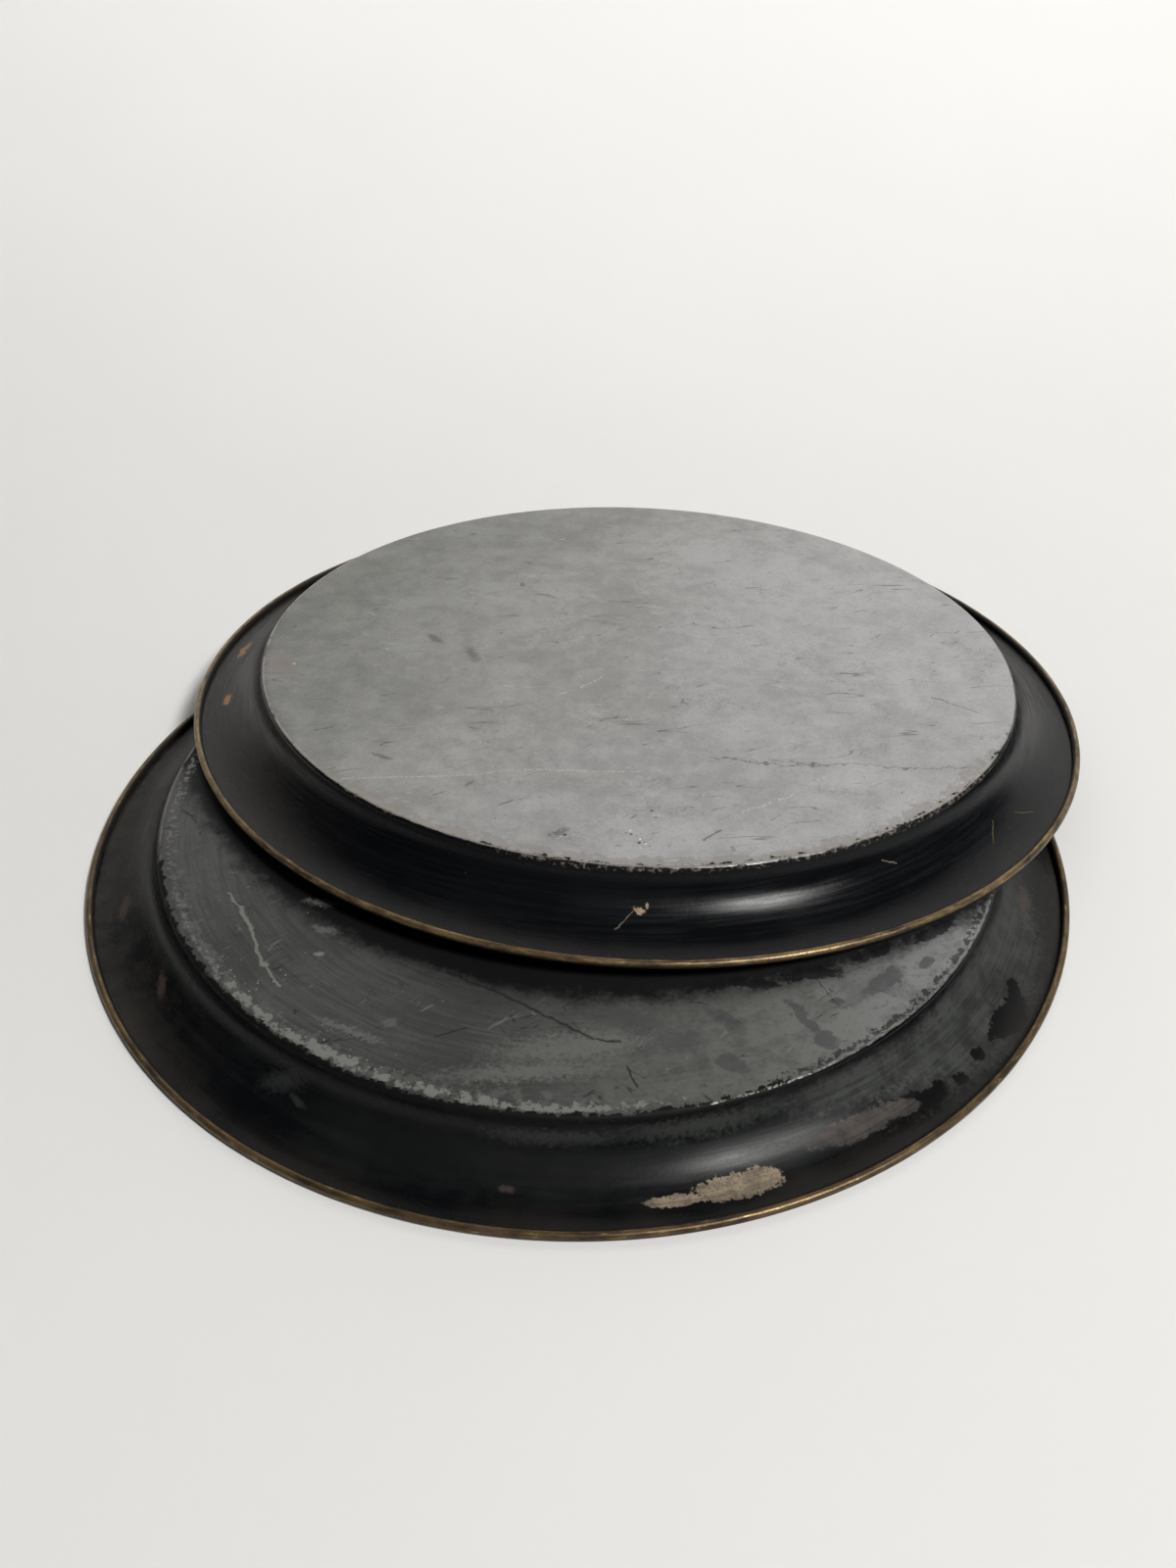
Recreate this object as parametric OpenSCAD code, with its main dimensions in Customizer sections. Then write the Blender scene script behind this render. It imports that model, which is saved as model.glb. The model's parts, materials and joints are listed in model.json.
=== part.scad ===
// A pair of large shallow round dishes in black japanned sheet steel, both lying face down.
// Each dish is one pressed sheet whose edge is rolled round a wire. The upper dish leans on the
// lower one: its far rim stands on the bench and its near rim lies across the edge of the lower base.

/* [Dish] */
// Diameter over the rolled rim
rim_diameter = 500; // [400:5:600]
// Width of the wall and lip together, from the base out to the rim
wall_width = 38; // [30:1:50]
// Height from the rim plane to the outside of the base
dish_height = 27; // [22:0.5:34]
// Thickness of the sheet
sheet = 0.7; // [0.5:0.05:1]
// Outside radius of the bend between base and wall
foot_radius = 2.5; // [1.6:0.1:4]
// Steepness of the wall where it leaves the base
wall_start = 85; // [75:1:88]
// Width of the flat lip between the curved wall and the rolled rim
lip_width = 4; // [2:0.5:8]

/* [Wired rim] */
// Diameter of the wire inside the rolled rim
wire_diameter = 2.6; // [2:0.1:4]
// Gap between the wire and the sheet rolled round it
wire_clearance = 0.05; // [0.02:0.01:0.1]
// Gap between the two ends of the wire ring
wire_end_gap = 1.5; // [0.5:0.5:5]
// Gap between the tucked raw edge and the lip
tuck_gap = 0.15; // [0.1:0.05:0.3]

/* [Stack] */
// Distance between the dish centres, seen from above
stack_offset = 115; // [80:5:150]
// Direction in which the upper dish is pushed back
stack_heading = 73.5; // [0:0.5:360]
// Free gap where the upper dish meets the bench and the lower dish
rest_gap = 0.45; // [0.4:0.05:1]

/* [Hidden] */
$fn = 180;
// Overlap that joins neighbouring lengths of the bent sheet
lap = 0.02;
// Angle of the surface where the tight curve of the wall gives way to the wide one
mid_turn = 45;

rim_radius = rim_diameter / 2;
base_radius = rim_radius - wall_width;
wire_radius = wire_diameter / 2;
bead_radius = wire_radius + wire_clearance + sheet;
bead_centre = [rim_radius - bead_radius, bead_radius];
// Where the rolled edge stops, just clear of the lip
tuck_turn = 180 + asin(1 - (sheet + tuck_gap) / bead_radius);

// The wall is two tangent arcs, steep at the base and level at the lip
start_turn = 90 - wall_start;
foot_centre = [base_radius - foot_radius, dish_height - foot_radius];
wall_top = foot_centre + foot_radius * [cos(start_turn), sin(start_turn)];
wall_end = [bead_centre[0] - lip_width, sheet];
wall_span = wall_end[0] - wall_top[0];
wall_drop = wall_top[1] - wall_end[1];
// Share of the span and of the drop that each arc covers, for a radius of one
span_1 = cos(start_turn) - cos(mid_turn);
span_2 = cos(mid_turn);
drop_1 = sin(mid_turn) - sin(start_turn);
drop_2 = 1 - sin(mid_turn);
share = span_2 * drop_1 - span_1 * drop_2;
tight_radius = (span_2 * wall_drop - drop_2 * wall_span) / share;
wide_radius = (drop_1 * wall_span - span_1 * wall_drop) / share;
tight_centre = wall_top + tight_radius * [cos(start_turn), sin(start_turn)];
wide_centre = [wall_end[0], wall_end[1] + wide_radius];

// The tilt that stands the far rim on the bench and lays the near wall on the edge of the lower base.
// It is the steepest slope that any point of that rounded edge asks for.
rim_line = bead_centre[0];
face_radius = wide_radius + sheet;
edge_turns = [0:0.5:180];
edge_rolls = [0:10:60];
stack_tilt = atan(max([for (turn = edge_turns, roll = edge_rolls) slope_over(turn, roll)]));
bead_height = bead_radius + rest_gap + rim_line * sin(stack_tilt);

// Height of a dish's underside over its rim plane, at a distance from its axis
function underside(distance) =
    distance > rim_radius || wall_end[0] - distance > face_radius ? face_radius
    : distance > wall_end[0] ? 0
    : face_radius - sqrt(pow(face_radius, 2) - pow(wall_end[0] - distance, 2));

// Slope at which the upper dish just meets the lower base edge at one turn round it and one roll over it
function slope_over(turn, roll) =
    let (
        edge = foot_centre + foot_radius * [sin(roll), cos(roll)],
        along = edge[0] * cos(turn),
        distance = sqrt(pow(edge[0], 2) + pow(stack_offset, 2) - 2 * stack_offset * along)
    )
    (edge[1] - underside(distance)) / (rim_line + stack_offset - along);

// Everything is centred on the pair as seen from above
shift = [cos(stack_heading), sin(stack_heading)] * stack_offset;
reach = [for (way = [cos(stack_heading), sin(stack_heading)])
    rim_line * sqrt(1 - pow(sin(stack_tilt) * way, 2)) + bead_radius];
low = [for (i = [0, 1]) min(-rim_radius, shift[i] - reach[i])];
high = [for (i = [0, 1]) max(rim_radius, shift[i] + reach[i])];
middle = (low + high) / 2;

// A length of sheet bent about a centre, from one direction to another
module bend(centre, inner, from, to) {
    middle_turn = (from + to) / 2;
    far = 2 * (inner + sheet) / cos((to - from) / 2);
    extra = lap / inner * 180 / PI;
    translate(centre)
        intersection() {
            difference() {
                circle(r = inner + sheet);
                circle(r = inner);
            }
            polygon([
                [0, 0],
                far * [cos(from - extra), sin(from - extra)],
                far * [cos(middle_turn), sin(middle_turn)],
                far * [cos(to + extra), sin(to + extra)]
            ]);
        }
}

// Sheet rolled round the wire, open where the raw edge stops short of the lip
module rolled_edge() {
    open = 270 - tuck_turn;
    far = 3 * bead_radius;
    translate(bead_centre)
        difference() {
            circle(r = bead_radius);
            circle(r = bead_radius - sheet);
            polygon([
                [0, 0],
                far * [cos(tuck_turn), sin(tuck_turn)],
                far * [cos(tuck_turn + open / 2), sin(tuck_turn + open / 2)],
                far * [cos(270), sin(270)]
            ]);
        }
}

// Half section of the sheet, from the centre of the base to the rolled edge
module sheet_section() {
    translate([0, dish_height - sheet])
        square([foot_centre[0] + lap, sheet]);
    bend(foot_centre, foot_radius - sheet, start_turn, 90);
    bend(tight_centre, tight_radius, 180 + start_turn, 180 + mid_turn);
    bend(wide_centre, wide_radius, 180 + mid_turn, 270);
    translate([wall_end[0] - lap, 0])
        square([lip_width + 2 * lap, sheet]);
    rolled_edge();
}

module dish() {
    rotate_extrude()
        sheet_section();
}

module rim_wire() {
    sweep = 360 - wire_end_gap / rim_line * 180 / PI;
    rotate_extrude(angle = sweep)
        translate(bead_centre)
            circle(r = wire_radius);
}

module lower_place() {
    translate([-middle[0], -middle[1], 0])
        children();
}

module upper_place() {
    translate([shift[0] - middle[0], shift[1] - middle[1], bead_height])
        rotate([0, 0, stack_heading])
            rotate([0, stack_tilt, 0])
                translate([0, 0, -bead_radius])
                    children();
}

module lower_dish() {
    color([0.10, 0.10, 0.11])
        lower_place()
            dish();
}

module lower_rim_wire() {
    color([0.45, 0.42, 0.38])
        lower_place()
            rim_wire();
}

module upper_dish() {
    color([0.14, 0.14, 0.15])
        upper_place()
            dish();
}

module upper_rim_wire() {
    color([0.45, 0.42, 0.38])
        upper_place()
            rim_wire();
}

lower_dish();
lower_rim_wire();
upper_dish();
upper_rim_wire();
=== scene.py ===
"""Two large round japanned sheet-steel dishes, lying face down, the upper one leaning on the lower.

Lengths are in millimetres while a shape is drawn, and in metres in the scene.
"""

import json
from math import asin, atan2, cos, degrees, pi, radians, sin, sqrt

import bpy
import numpy as np
from mathutils import Matrix, Vector


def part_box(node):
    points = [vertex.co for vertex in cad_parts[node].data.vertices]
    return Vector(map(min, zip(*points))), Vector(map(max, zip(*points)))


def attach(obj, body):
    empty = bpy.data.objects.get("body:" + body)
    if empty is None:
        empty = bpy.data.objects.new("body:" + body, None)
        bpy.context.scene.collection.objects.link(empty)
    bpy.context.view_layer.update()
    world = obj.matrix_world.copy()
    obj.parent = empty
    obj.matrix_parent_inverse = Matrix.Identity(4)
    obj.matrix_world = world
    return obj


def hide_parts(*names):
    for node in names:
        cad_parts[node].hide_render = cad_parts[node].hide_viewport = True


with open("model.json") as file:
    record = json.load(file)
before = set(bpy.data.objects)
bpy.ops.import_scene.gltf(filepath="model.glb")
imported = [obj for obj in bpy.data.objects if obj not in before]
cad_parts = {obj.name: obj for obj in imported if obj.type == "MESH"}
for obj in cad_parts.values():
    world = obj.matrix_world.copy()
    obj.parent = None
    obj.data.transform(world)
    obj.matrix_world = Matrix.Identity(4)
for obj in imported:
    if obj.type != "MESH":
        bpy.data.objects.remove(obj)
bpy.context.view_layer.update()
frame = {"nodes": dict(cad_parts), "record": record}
MM = 0.001


def show(thing):
    bpy.context.scene.collection.objects.link(thing)


# ---------------- camera
CAMERA_STAND = (-0.01554, -0.61694, 0.46007)
CAMERA_YAW, CAMERA_DOWN, CAMERA_ROLL = radians(0.387), radians(37.317), radians(0.482)
CAMERA_FILM, CAMERA_FOCUS = 36.0, 31.5


def place_camera():
    """Stands the camera in front of the pair and looks down on it."""
    yaw, down, roll = CAMERA_YAW, CAMERA_DOWN, CAMERA_ROLL
    ahead = Vector((sin(yaw) * cos(down), cos(yaw) * cos(down), -sin(down)))
    level = Vector((cos(yaw), -sin(yaw), 0.0))
    over = level.cross(ahead)
    right = level * cos(roll) + over * sin(roll)
    top = over * cos(roll) - level * sin(roll)
    lens = bpy.data.cameras.new("Bench camera")
    lens.sensor_width, lens.lens = CAMERA_FILM, CAMERA_FOCUS
    lens.clip_start, lens.clip_end = 0.01, 50.0
    camera = bpy.data.objects.new("Bench camera", lens)
    camera.matrix_world = Matrix((
        (right.x, top.x, -ahead.x, CAMERA_STAND[0]),
        (right.y, top.y, -ahead.y, CAMERA_STAND[1]),
        (right.z, top.z, -ahead.z, CAMERA_STAND[2]),
        (0.0, 0.0, 0.0, 1.0),
    ))
    show(camera)
    bpy.context.scene.camera = camera


place_camera()
bpy.context.scene.view_settings.view_transform = "Standard"

# ---------------- sizes of one dish, in millimetres
SHEET = 0.7
RIM_RADIUS = 250.0
BASE_RADIUS = 212.0
HEIGHT = 27.0
FOOT = 2.5
LIP = 4.0
WIRE_ROOM = 1.35
TUCK_GAP = 0.15
BEAD = WIRE_ROOM + SHEET
RIM_LINE = RIM_RADIUS - BEAD
WALL_START = radians(5)
WALL_TURN = radians(45)
# Distance between the dish centres, seen from above, and the direction of the push
STACK_OFFSET = 115.0
STACK_HEADING = radians(73.5)
STEPS_ROUND = 480
# Most that the roll is flattened and that the base has sunk
FLATTENING = 0.11
BASE_SAG = 0.3
# Distance round the wall, at its middle, for one degree of turn
WALL_DEGREE = radians(240.0)


def wall_arcs():
    """Radii of the tight and the wide curve that carry the wall from the base to the lip."""
    top = (BASE_RADIUS - FOOT + FOOT * cos(WALL_START), HEIGHT - FOOT + FOOT * sin(WALL_START))
    span = RIM_LINE - LIP - top[0]
    drop = top[1] - SHEET
    span_1, span_2 = cos(WALL_START) - cos(WALL_TURN), cos(WALL_TURN)
    drop_1, drop_2 = sin(WALL_TURN) - sin(WALL_START), 1 - sin(WALL_TURN)
    share = span_2 * drop_1 - span_1 * drop_2
    tight = (span_2 * drop - drop_2 * span) / share
    wide = (drop_1 * span - span_1 * drop) / share
    return top, tight, wide


def arc(centre, radius, start, end, steps):
    """Points along an arc, without its first one. Angles are in degrees."""
    turns = np.radians(np.linspace(start, end, steps + 1))[1:]
    return [(centre[0] + radius * cos(a), centre[1] + radius * sin(a)) for a in turns]


def dish_section():
    """The closed outline of the sheet from the middle of the back to the middle of the face.

    Gives the points, and for each the part it belongs to: back, bead or face.
    """
    top, tight, wide = wall_arcs()
    start, turn = degrees(WALL_START), degrees(WALL_TURN)
    foot = (BASE_RADIUS - FOOT, HEIGHT - FOOT)
    tight_at = (top[0] + tight * cos(WALL_START), top[1] + tight * sin(WALL_START))
    wide_at = (RIM_LINE - LIP, SHEET + wide)
    bead = (RIM_LINE, BEAD)
    tuck = 180 + degrees(asin(1 - (SHEET + TUCK_GAP) / BEAD))
    flat = [0.0, 5.0] + list(np.linspace(14.0, 194.0, 21)) + [200.0, 205.0, foot[0]]
    back = [(r, HEIGHT) for r in flat]
    back += arc(foot, FOOT, 90, start, 9)
    back += arc(tight_at, tight, 180 + start, 180 + turn, 10)
    back += arc(wide_at, wide, 180 + turn, 270, 13)
    back += [(RIM_LINE - LIP / 2, SHEET), (RIM_LINE, SHEET)]
    rolled = arc(bead, WIRE_ROOM, -90, tuck, 18)
    rolled += [tuple(np.array(bead) + r * np.array([cos(radians(tuck)), sin(radians(tuck))]))
               for r in (WIRE_ROOM + SHEET / 2, BEAD)]
    rolled += arc(bead, BEAD, tuck, -90, 30)
    face = [(RIM_LINE - LIP / 2, 0.0), (RIM_LINE - LIP, 0.0)]
    face += arc(wide_at, wide + SHEET, 270, 180 + turn, 10)
    face += arc(tight_at, tight + SHEET, 180 + turn, 180 + start, 8)
    face += arc(foot, FOOT - SHEET, start, 90, 6)
    face += [(r, HEIGHT - SHEET) for r in (205.0, 190.0, 160.0, 125.0, 90.0, 55.0, 20.0, 0.0)]
    points = np.array(back + rolled + face)
    part = np.array([0] * len(back) + [1] * len(rolled) + [2] * len(face))
    return points, part


def soft_noise(turns, lump_count, seed):
    """Smooth values from 0 to 1 round a ring, with about lump_count bumps, joined end to end."""
    heights = np.random.default_rng(seed).random(lump_count)
    at = turns / (2 * pi) * lump_count
    low = np.floor(at).astype(int)
    part = at - low
    part = part * part * (3 - 2 * part)
    return heights[low % lump_count] * (1 - part) + heights[(low + 1) % lump_count] * part


def base_dip(x, y, seed):
    """How far the middle of the base has sunk in handling, in millimetres, from 0 to BASE_SAG."""
    draws = np.random.default_rng(seed)
    total = np.zeros_like(x)
    for wave_length in (330.0, 240.0, 170.0, 120.0, 85.0):
        heading, phase = draws.random(2) * 2 * pi
        total += np.sin((x * cos(heading) + y * sin(heading)) / wave_length * 2 * pi + phase)
    away = np.clip((204.0 - np.hypot(x, y)) / 60.0, 0, 1)
    return (total / 5 + 1) * BASE_SAG / 2 * away * away * (3 - 2 * away)


def turned_points(section, part, turns, seed):
    """Every point of the turned outline, ring by ring, with the unevenness of a hand-wired rim."""
    radius = np.repeat(section[1:-1, :1], STEPS_ROUND, 1)
    height = np.repeat(section[1:-1, 1:], STEPS_ROUND, 1)
    # The outside of the roll is a little flattened where the rim was hammered down
    lumps = 0.6 * soft_noise(turns, 150, seed) + 0.4 * soft_noise(turns, 47, seed + 1)
    from_bead = np.stack([radius - RIM_LINE, height - BEAD])
    outside = (part[1:-1] == 1) & (np.hypot(*from_bead)[:, 0] > BEAD - 0.01)
    shrink = np.where(outside[:, None] & (height > SHEET + 0.1), FLATTENING * lumps / BEAD, 0.0)
    radius = radius - from_bead[0] * shrink
    height = height - from_bead[1] * shrink
    x, y = radius * np.cos(turns), radius * np.sin(turns)
    height = height - base_dip(x, y, seed + 2)
    middle_dip = float(base_dip(np.zeros(1), np.zeros(1), seed + 2)[0])
    return np.concatenate([
        [[0, 0, section[0, 1] - middle_dip]],
        np.stack([x, y, height], -1).reshape(-1, 3),
        [[0, 0, section[-1, 1] - middle_dip]],
    ])


def turned_faces(rings, last):
    """Fans at the two middles and strips between the rings."""
    here = np.arange(STEPS_ROUND)
    after = (here + 1) % STEPS_ROUND
    faces = [(0, 1 + a, 1 + b) for a, b in zip(here, after)]
    for ring in range(rings - 1):
        inner, outer = 1 + ring * STEPS_ROUND, 1 + (ring + 1) * STEPS_ROUND
        faces += [(inner + a, outer + a, outer + b, inner + b) for a, b in zip(here, after)]
    rim = 1 + (rings - 1) * STEPS_ROUND
    return faces + [(rim + a, last, rim + b) for a, b in zip(here, after)]


def unroll(mesh, run, last):
    """For each face corner, its way round the wall and its run from the middle of the back."""
    corner_verts = np.zeros(len(mesh.loops), int)
    mesh.loops.foreach_get("vertex_index", corner_verts)
    ring_of = np.where(corner_verts == 0, 0, np.where(corner_verts == last, len(run) - 1,
                                                      (corner_verts - 1) // STEPS_ROUND + 1))
    step_of = np.where((corner_verts == 0) | (corner_verts == last), 0, (corner_verts - 1) % STEPS_ROUND)
    face_first = np.zeros(len(mesh.polygons), int)
    mesh.polygons.foreach_get("loop_start", face_first)
    face_of = np.repeat(np.arange(len(mesh.polygons)), np.diff(np.append(face_first, len(corner_verts))))
    closing = (np.arange(len(mesh.polygons)) % STEPS_ROUND == STEPS_ROUND - 1)[face_of]
    way = np.where(closing & (step_of == 0), 360.0, step_of / STEPS_ROUND * 360.0)
    return np.stack([way * WALL_DEGREE, run[ring_of], np.zeros(len(way))], -1)


def crisp_raw_edge(mesh, part):
    """Keeps the raw edge of the sheet crisp where it is tucked in."""
    raw = np.nonzero(part == 1)[0][17:20:2]
    edge_ends = np.zeros(len(mesh.edges) * 2, int)
    mesh.edges.foreach_get("vertices", edge_ends)
    ends = (edge_ends.reshape(-1, 2) - 1) // STEPS_ROUND + 1
    mesh.edges.foreach_set("use_edge_sharp", (ends[:, 0] == ends[:, 1]) & np.isin(ends[:, 0], raw))


def dish_mesh(name, seed):
    """Turns the outline round the axis and marks where each point lies on the dish."""
    section, part = dish_section()
    run = np.concatenate([[0], np.cumsum(np.hypot(*np.diff(section, axis=0).T))])
    turns = np.arange(STEPS_ROUND) / STEPS_ROUND * 2 * pi
    rings = len(section) - 2
    verts = turned_points(section, part, turns, seed)
    last = len(verts) - 1
    mesh = bpy.data.meshes.new(name)
    mesh.from_pydata((verts * MM).tolist(), [], turned_faces(rings, last))
    # place is the drawing's x, y, z; unrolled is the way round and the run
    place = mesh.attributes.new("place", "FLOAT_VECTOR", "POINT")
    place.data.foreach_set("vector", verts.astype(np.float32).ravel())
    unrolled = unroll(mesh, run, last)
    spread = mesh.attributes.new("unrolled", "FLOAT_VECTOR", "CORNER")
    spread.data.foreach_set("vector", unrolled.astype(np.float32).ravel())
    # One finish for the back, one for the roll, one for the face
    first_ring = np.repeat(np.arange(rings + 1), STEPS_ROUND)
    finish = np.maximum(part[first_ring], part[np.minimum(first_ring + 1, len(part) - 1)])
    mesh.polygons.foreach_set("material_index", finish.astype(np.int32))
    mesh.polygons.foreach_set("use_smooth", np.ones(len(mesh.polygons), bool))
    crisp_raw_edge(mesh, part)
    mesh.update()
    return mesh


# ---------------- helpers for drawing finishes
def add(tree, kind, inputs=None, **settings):
    """A node of that kind. A socket among the inputs is joined, anything else is its value."""
    made = tree.nodes.new("ShaderNode" + kind)
    for name, value in settings.items():
        setattr(made, name, value)
    for name, value in (inputs or {}).items():
        if isinstance(value, bpy.types.NodeSocket):
            tree.links.new(value, made.inputs[name])
        else:
            made.inputs[name].default_value = value
    return made


def work(tree, operation, *values, clamp=False):
    """One step of arithmetic."""
    return add(tree, "Math", dict(enumerate(values)), operation=operation, use_clamp=clamp).outputs[0]


def times(tree, first, second):
    return work(tree, "MULTIPLY", first, second)


def point_work(tree, operation, *values):
    """One step of arithmetic on points."""
    made = add(tree, "VectorMath", operation=operation)
    for slot, value in enumerate(values):
        socket = made.inputs[3] if operation == "SCALE" and slot == 1 else made.inputs[slot]
        if isinstance(value, bpy.types.NodeSocket):
            tree.links.new(value, socket)
        else:
            socket.default_value = value
    return made.outputs["Value" if operation in ("LENGTH", "DOT_PRODUCT") else "Vector"]


def fade(tree, value, start, end, low=0.0, high=1.0):
    """A smooth step from low to high as the value goes from start to end."""
    return add(tree, "MapRange", {"Value": value, "From Min": start, "From Max": end,
                                  "To Min": low, "To Max": high},
               interpolation_type="SMOOTHSTEP").outputs[0]


def blend(tree, share, first, second):
    """The first colour where share is 0 and the second where it is 1."""
    made = add(tree, "Mix", {0: share}, data_type="RGBA")
    for name, value in (("A", first), ("B", second)):
        socket = [s for s in made.inputs if s.name == name and s.type == "RGBA"][0]
        if isinstance(value, bpy.types.NodeSocket):
            tree.links.new(value, socket)
        else:
            socket.default_value = (*value, 1.0)
    return [s for s in made.outputs if s.type == "RGBA"][0]


def noise(tree, where, detail, rough, scale=1.0, output="Fac"):
    """Cloudy noise from 0 to 1, which swings round a half."""
    made = add(tree, "TexNoise", {"Vector": where, "Scale": scale, "Detail": detail, "Roughness": rough})
    return made.outputs[output]


def in_units(tree, place, size):
    """A place measured in units of that size."""
    return point_work(tree, "SCALE", place, work(tree, "DIVIDE", 1.0, size))


def stir(tree, value, by, reach):
    """The value shifted by a noise, up to half the reach either way."""
    return work(tree, "MULTIPLY_ADD", work(tree, "SUBTRACT", by, 0.5), reach, value)


def mean(tree, first, second):
    return times(tree, work(tree, "ADD", first, second), 0.5)


def soft_step(tree, value, edge, half, low=0.0, high=1.0):
    """A smooth step from low to high, centred on an edge and twice half wide."""
    return fade(tree, value, work(tree, "SUBTRACT", edge, half), work(tree, "ADD", edge, half), low, high)


def new_material(name):
    """A material with its tree and its main shader."""
    material = bpy.data.materials.new(name)
    material.use_nodes = True
    return material, material.node_tree, material.node_tree.nodes["Principled BSDF"]


def new_group(name, inputs, outputs):
    """An empty node group with those sockets. Gives the tree, its inputs and its output node."""
    tree = bpy.data.node_groups.new(name, "ShaderNodeTree")
    kinds = {"v": "NodeSocketVector", "f": "NodeSocketFloat"}
    for label, kind, value in inputs:
        socket = tree.interface.new_socket(label, in_out="INPUT", socket_type=kinds[kind])
        if value is not None:
            socket.default_value = value
    for label, kind in outputs:
        tree.interface.new_socket(label, in_out="OUTPUT", socket_type=kinds[kind])
    source = tree.nodes.new("NodeGroupInput")
    return tree, source.outputs, tree.nodes.new("NodeGroupOutput")


def closed(tree, out, value):
    """The group, with the value joined to its one output."""
    tree.links.new(value, out.inputs[0])
    return tree


def put(tree, group, **inputs):
    """The group placed in a material. Underscores in names stand for spaces."""
    made = tree.nodes.new("ShaderNodeGroup")
    made.node_tree = group
    for name, value in inputs.items():
        socket = made.inputs[name.replace("_", " ")]
        if isinstance(value, bpy.types.NodeSocket):
            tree.links.new(value, socket)
        else:
            socket.default_value = value
    return made.outputs


# ---------------- effects that several finishes share
def make_wander():
    """Small sideways shifts that make the edges of marks ragged."""
    tree, given, out = new_group("Ragged wander", [("Place", "v", None), ("Lump", "f", 6.0)], [("Shift", "v")])
    drawn = noise(tree, in_units(tree, given["Place"], given["Lump"]), 4.0, 0.65, output="Color")
    return closed(tree, out, point_work(tree, "SUBTRACT", drawn, (0.5, 0.5, 0.5)))


def make_patch():
    """A patch with a ragged outline. Long Way and Short Way point along it, one over its half sizes in length.

    Crumbling eats into it from its edge.
    """
    tree, given, out = new_group(
        "Ragged patch",
        [("Plan", "v", None), ("Shift", "v", None), ("Crumble", "f", 0.5), ("Centre", "v", None),
         ("Long Way", "v", (0.1, 0.0, 0.0)), ("Short Way", "v", (0.0, 0.25, 0.0)), ("Ragged", "f", 6.0),
         ("Softness", "f", 0.15), ("Crumbling", "f", 1.0)],
        [("Mask", "f")])
    moved = point_work(tree, "MULTIPLY_ADD", given["Shift"], given["Ragged"], given["Plan"])
    away = point_work(tree, "SUBTRACT", moved, given["Centre"])
    long_way = point_work(tree, "DOT_PRODUCT", away, given["Long Way"])
    short_way = point_work(tree, "DOT_PRODUCT", away, given["Short Way"])
    square = work(tree, "MULTIPLY_ADD", long_way, long_way, times(tree, short_way, short_way))
    reach = stir(tree, work(tree, "SQRT", square), given["Crumble"], given["Crumbling"])
    return closed(tree, out, soft_step(tree, reach, 1.0, given["Softness"], 1.0, 0.0))


def make_scratch():
    """A scratch from one point to another, wandering a little and broken where it skips."""
    tree, given, out = new_group(
        "Scratch",
        [("Plan", "v", None), ("Shift", "v", None), ("Start", "v", None), ("End", "v", None),
         ("Width", "f", 0.5), ("Wobble", "f", 2.0), ("Skips", "f", 0.0)],
        [("Mask", "f")])
    line = point_work(tree, "SUBTRACT", given["End"], given["Start"])
    moved = point_work(tree, "MULTIPLY_ADD", given["Shift"], given["Wobble"], given["Plan"])
    away = point_work(tree, "MULTIPLY", point_work(tree, "SUBTRACT", moved, given["Start"]), (1.0, 1.0, 0.0))
    along = work(tree, "DIVIDE", point_work(tree, "DOT_PRODUCT", away, line),
                 point_work(tree, "DOT_PRODUCT", line, line), clamp=True)
    off = point_work(tree, "LENGTH", point_work(tree, "SUBTRACT", away, point_work(tree, "SCALE", line, along)))
    inked = fade(tree, off, times(tree, given["Width"], 0.35), given["Width"], 1.0, 0.0)
    # Only skips near 1 break the line, since the noise seldom strays far from a half
    gaps = noise(tree, given["Plan"], 2.0, 0.55, 1.0 / 1.6)
    kept = fade(tree, gaps, work(tree, "MULTIPLY_ADD", given["Skips"], 0.62, -0.1),
                work(tree, "MULTIPLY_ADD", given["Skips"], 0.62, 0.0))
    return closed(tree, out, times(tree, inked, kept))


def make_band():
    """A flaked band that follows the edge of the base between two turns, densest along its middle."""
    tree, given, out = new_group(
        "Worn band",
        [("Unrolled", "v", None), ("Place", "v", None), ("Run", "f", 208.0), ("Half Width", "f", 3.0),
         ("From", "f", 180.0), ("To", "f", 270.0), ("Easing", "f", 12.0), ("Ragged", "f", 5.0),
         ("Cover", "f", 0.5), ("Lump", "f", 5.0)],
        [("Mask", "f")])
    turn = point_work(tree, "DOT_PRODUCT", given["Unrolled"], (1.0 / WALL_DEGREE, 0.0, 0.0))
    run = point_work(tree, "DOT_PRODUCT", given["Unrolled"], (0.0, 1.0, 0.0))
    lumps = in_units(tree, given["Place"], given["Lump"])
    shifted = stir(tree, work(tree, "SUBTRACT", run, given["Run"]), noise(tree, lumps, 4.0, 0.7, 0.4), given["Ragged"])
    reach = work(tree, "DIVIDE", work(tree, "ABSOLUTE", shifted), given["Half Width"])
    entering = soft_step(tree, turn, given["From"], given["Easing"])
    window = times(tree, entering, soft_step(tree, turn, given["To"], given["Easing"], 1.0, 0.0))
    flaked = work(tree, "MULTIPLY_ADD", noise(tree, lumps, 5.0, 0.72, 0.8), 1.6, -0.3)
    level = work(tree, "SUBTRACT", 1.0, times(tree, given["Cover"], window))
    level = work(tree, "MULTIPLY_ADD", times(tree, reach, reach), 0.28, level)
    return closed(tree, out, soft_step(tree, flaked, level, 0.04))


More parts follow.
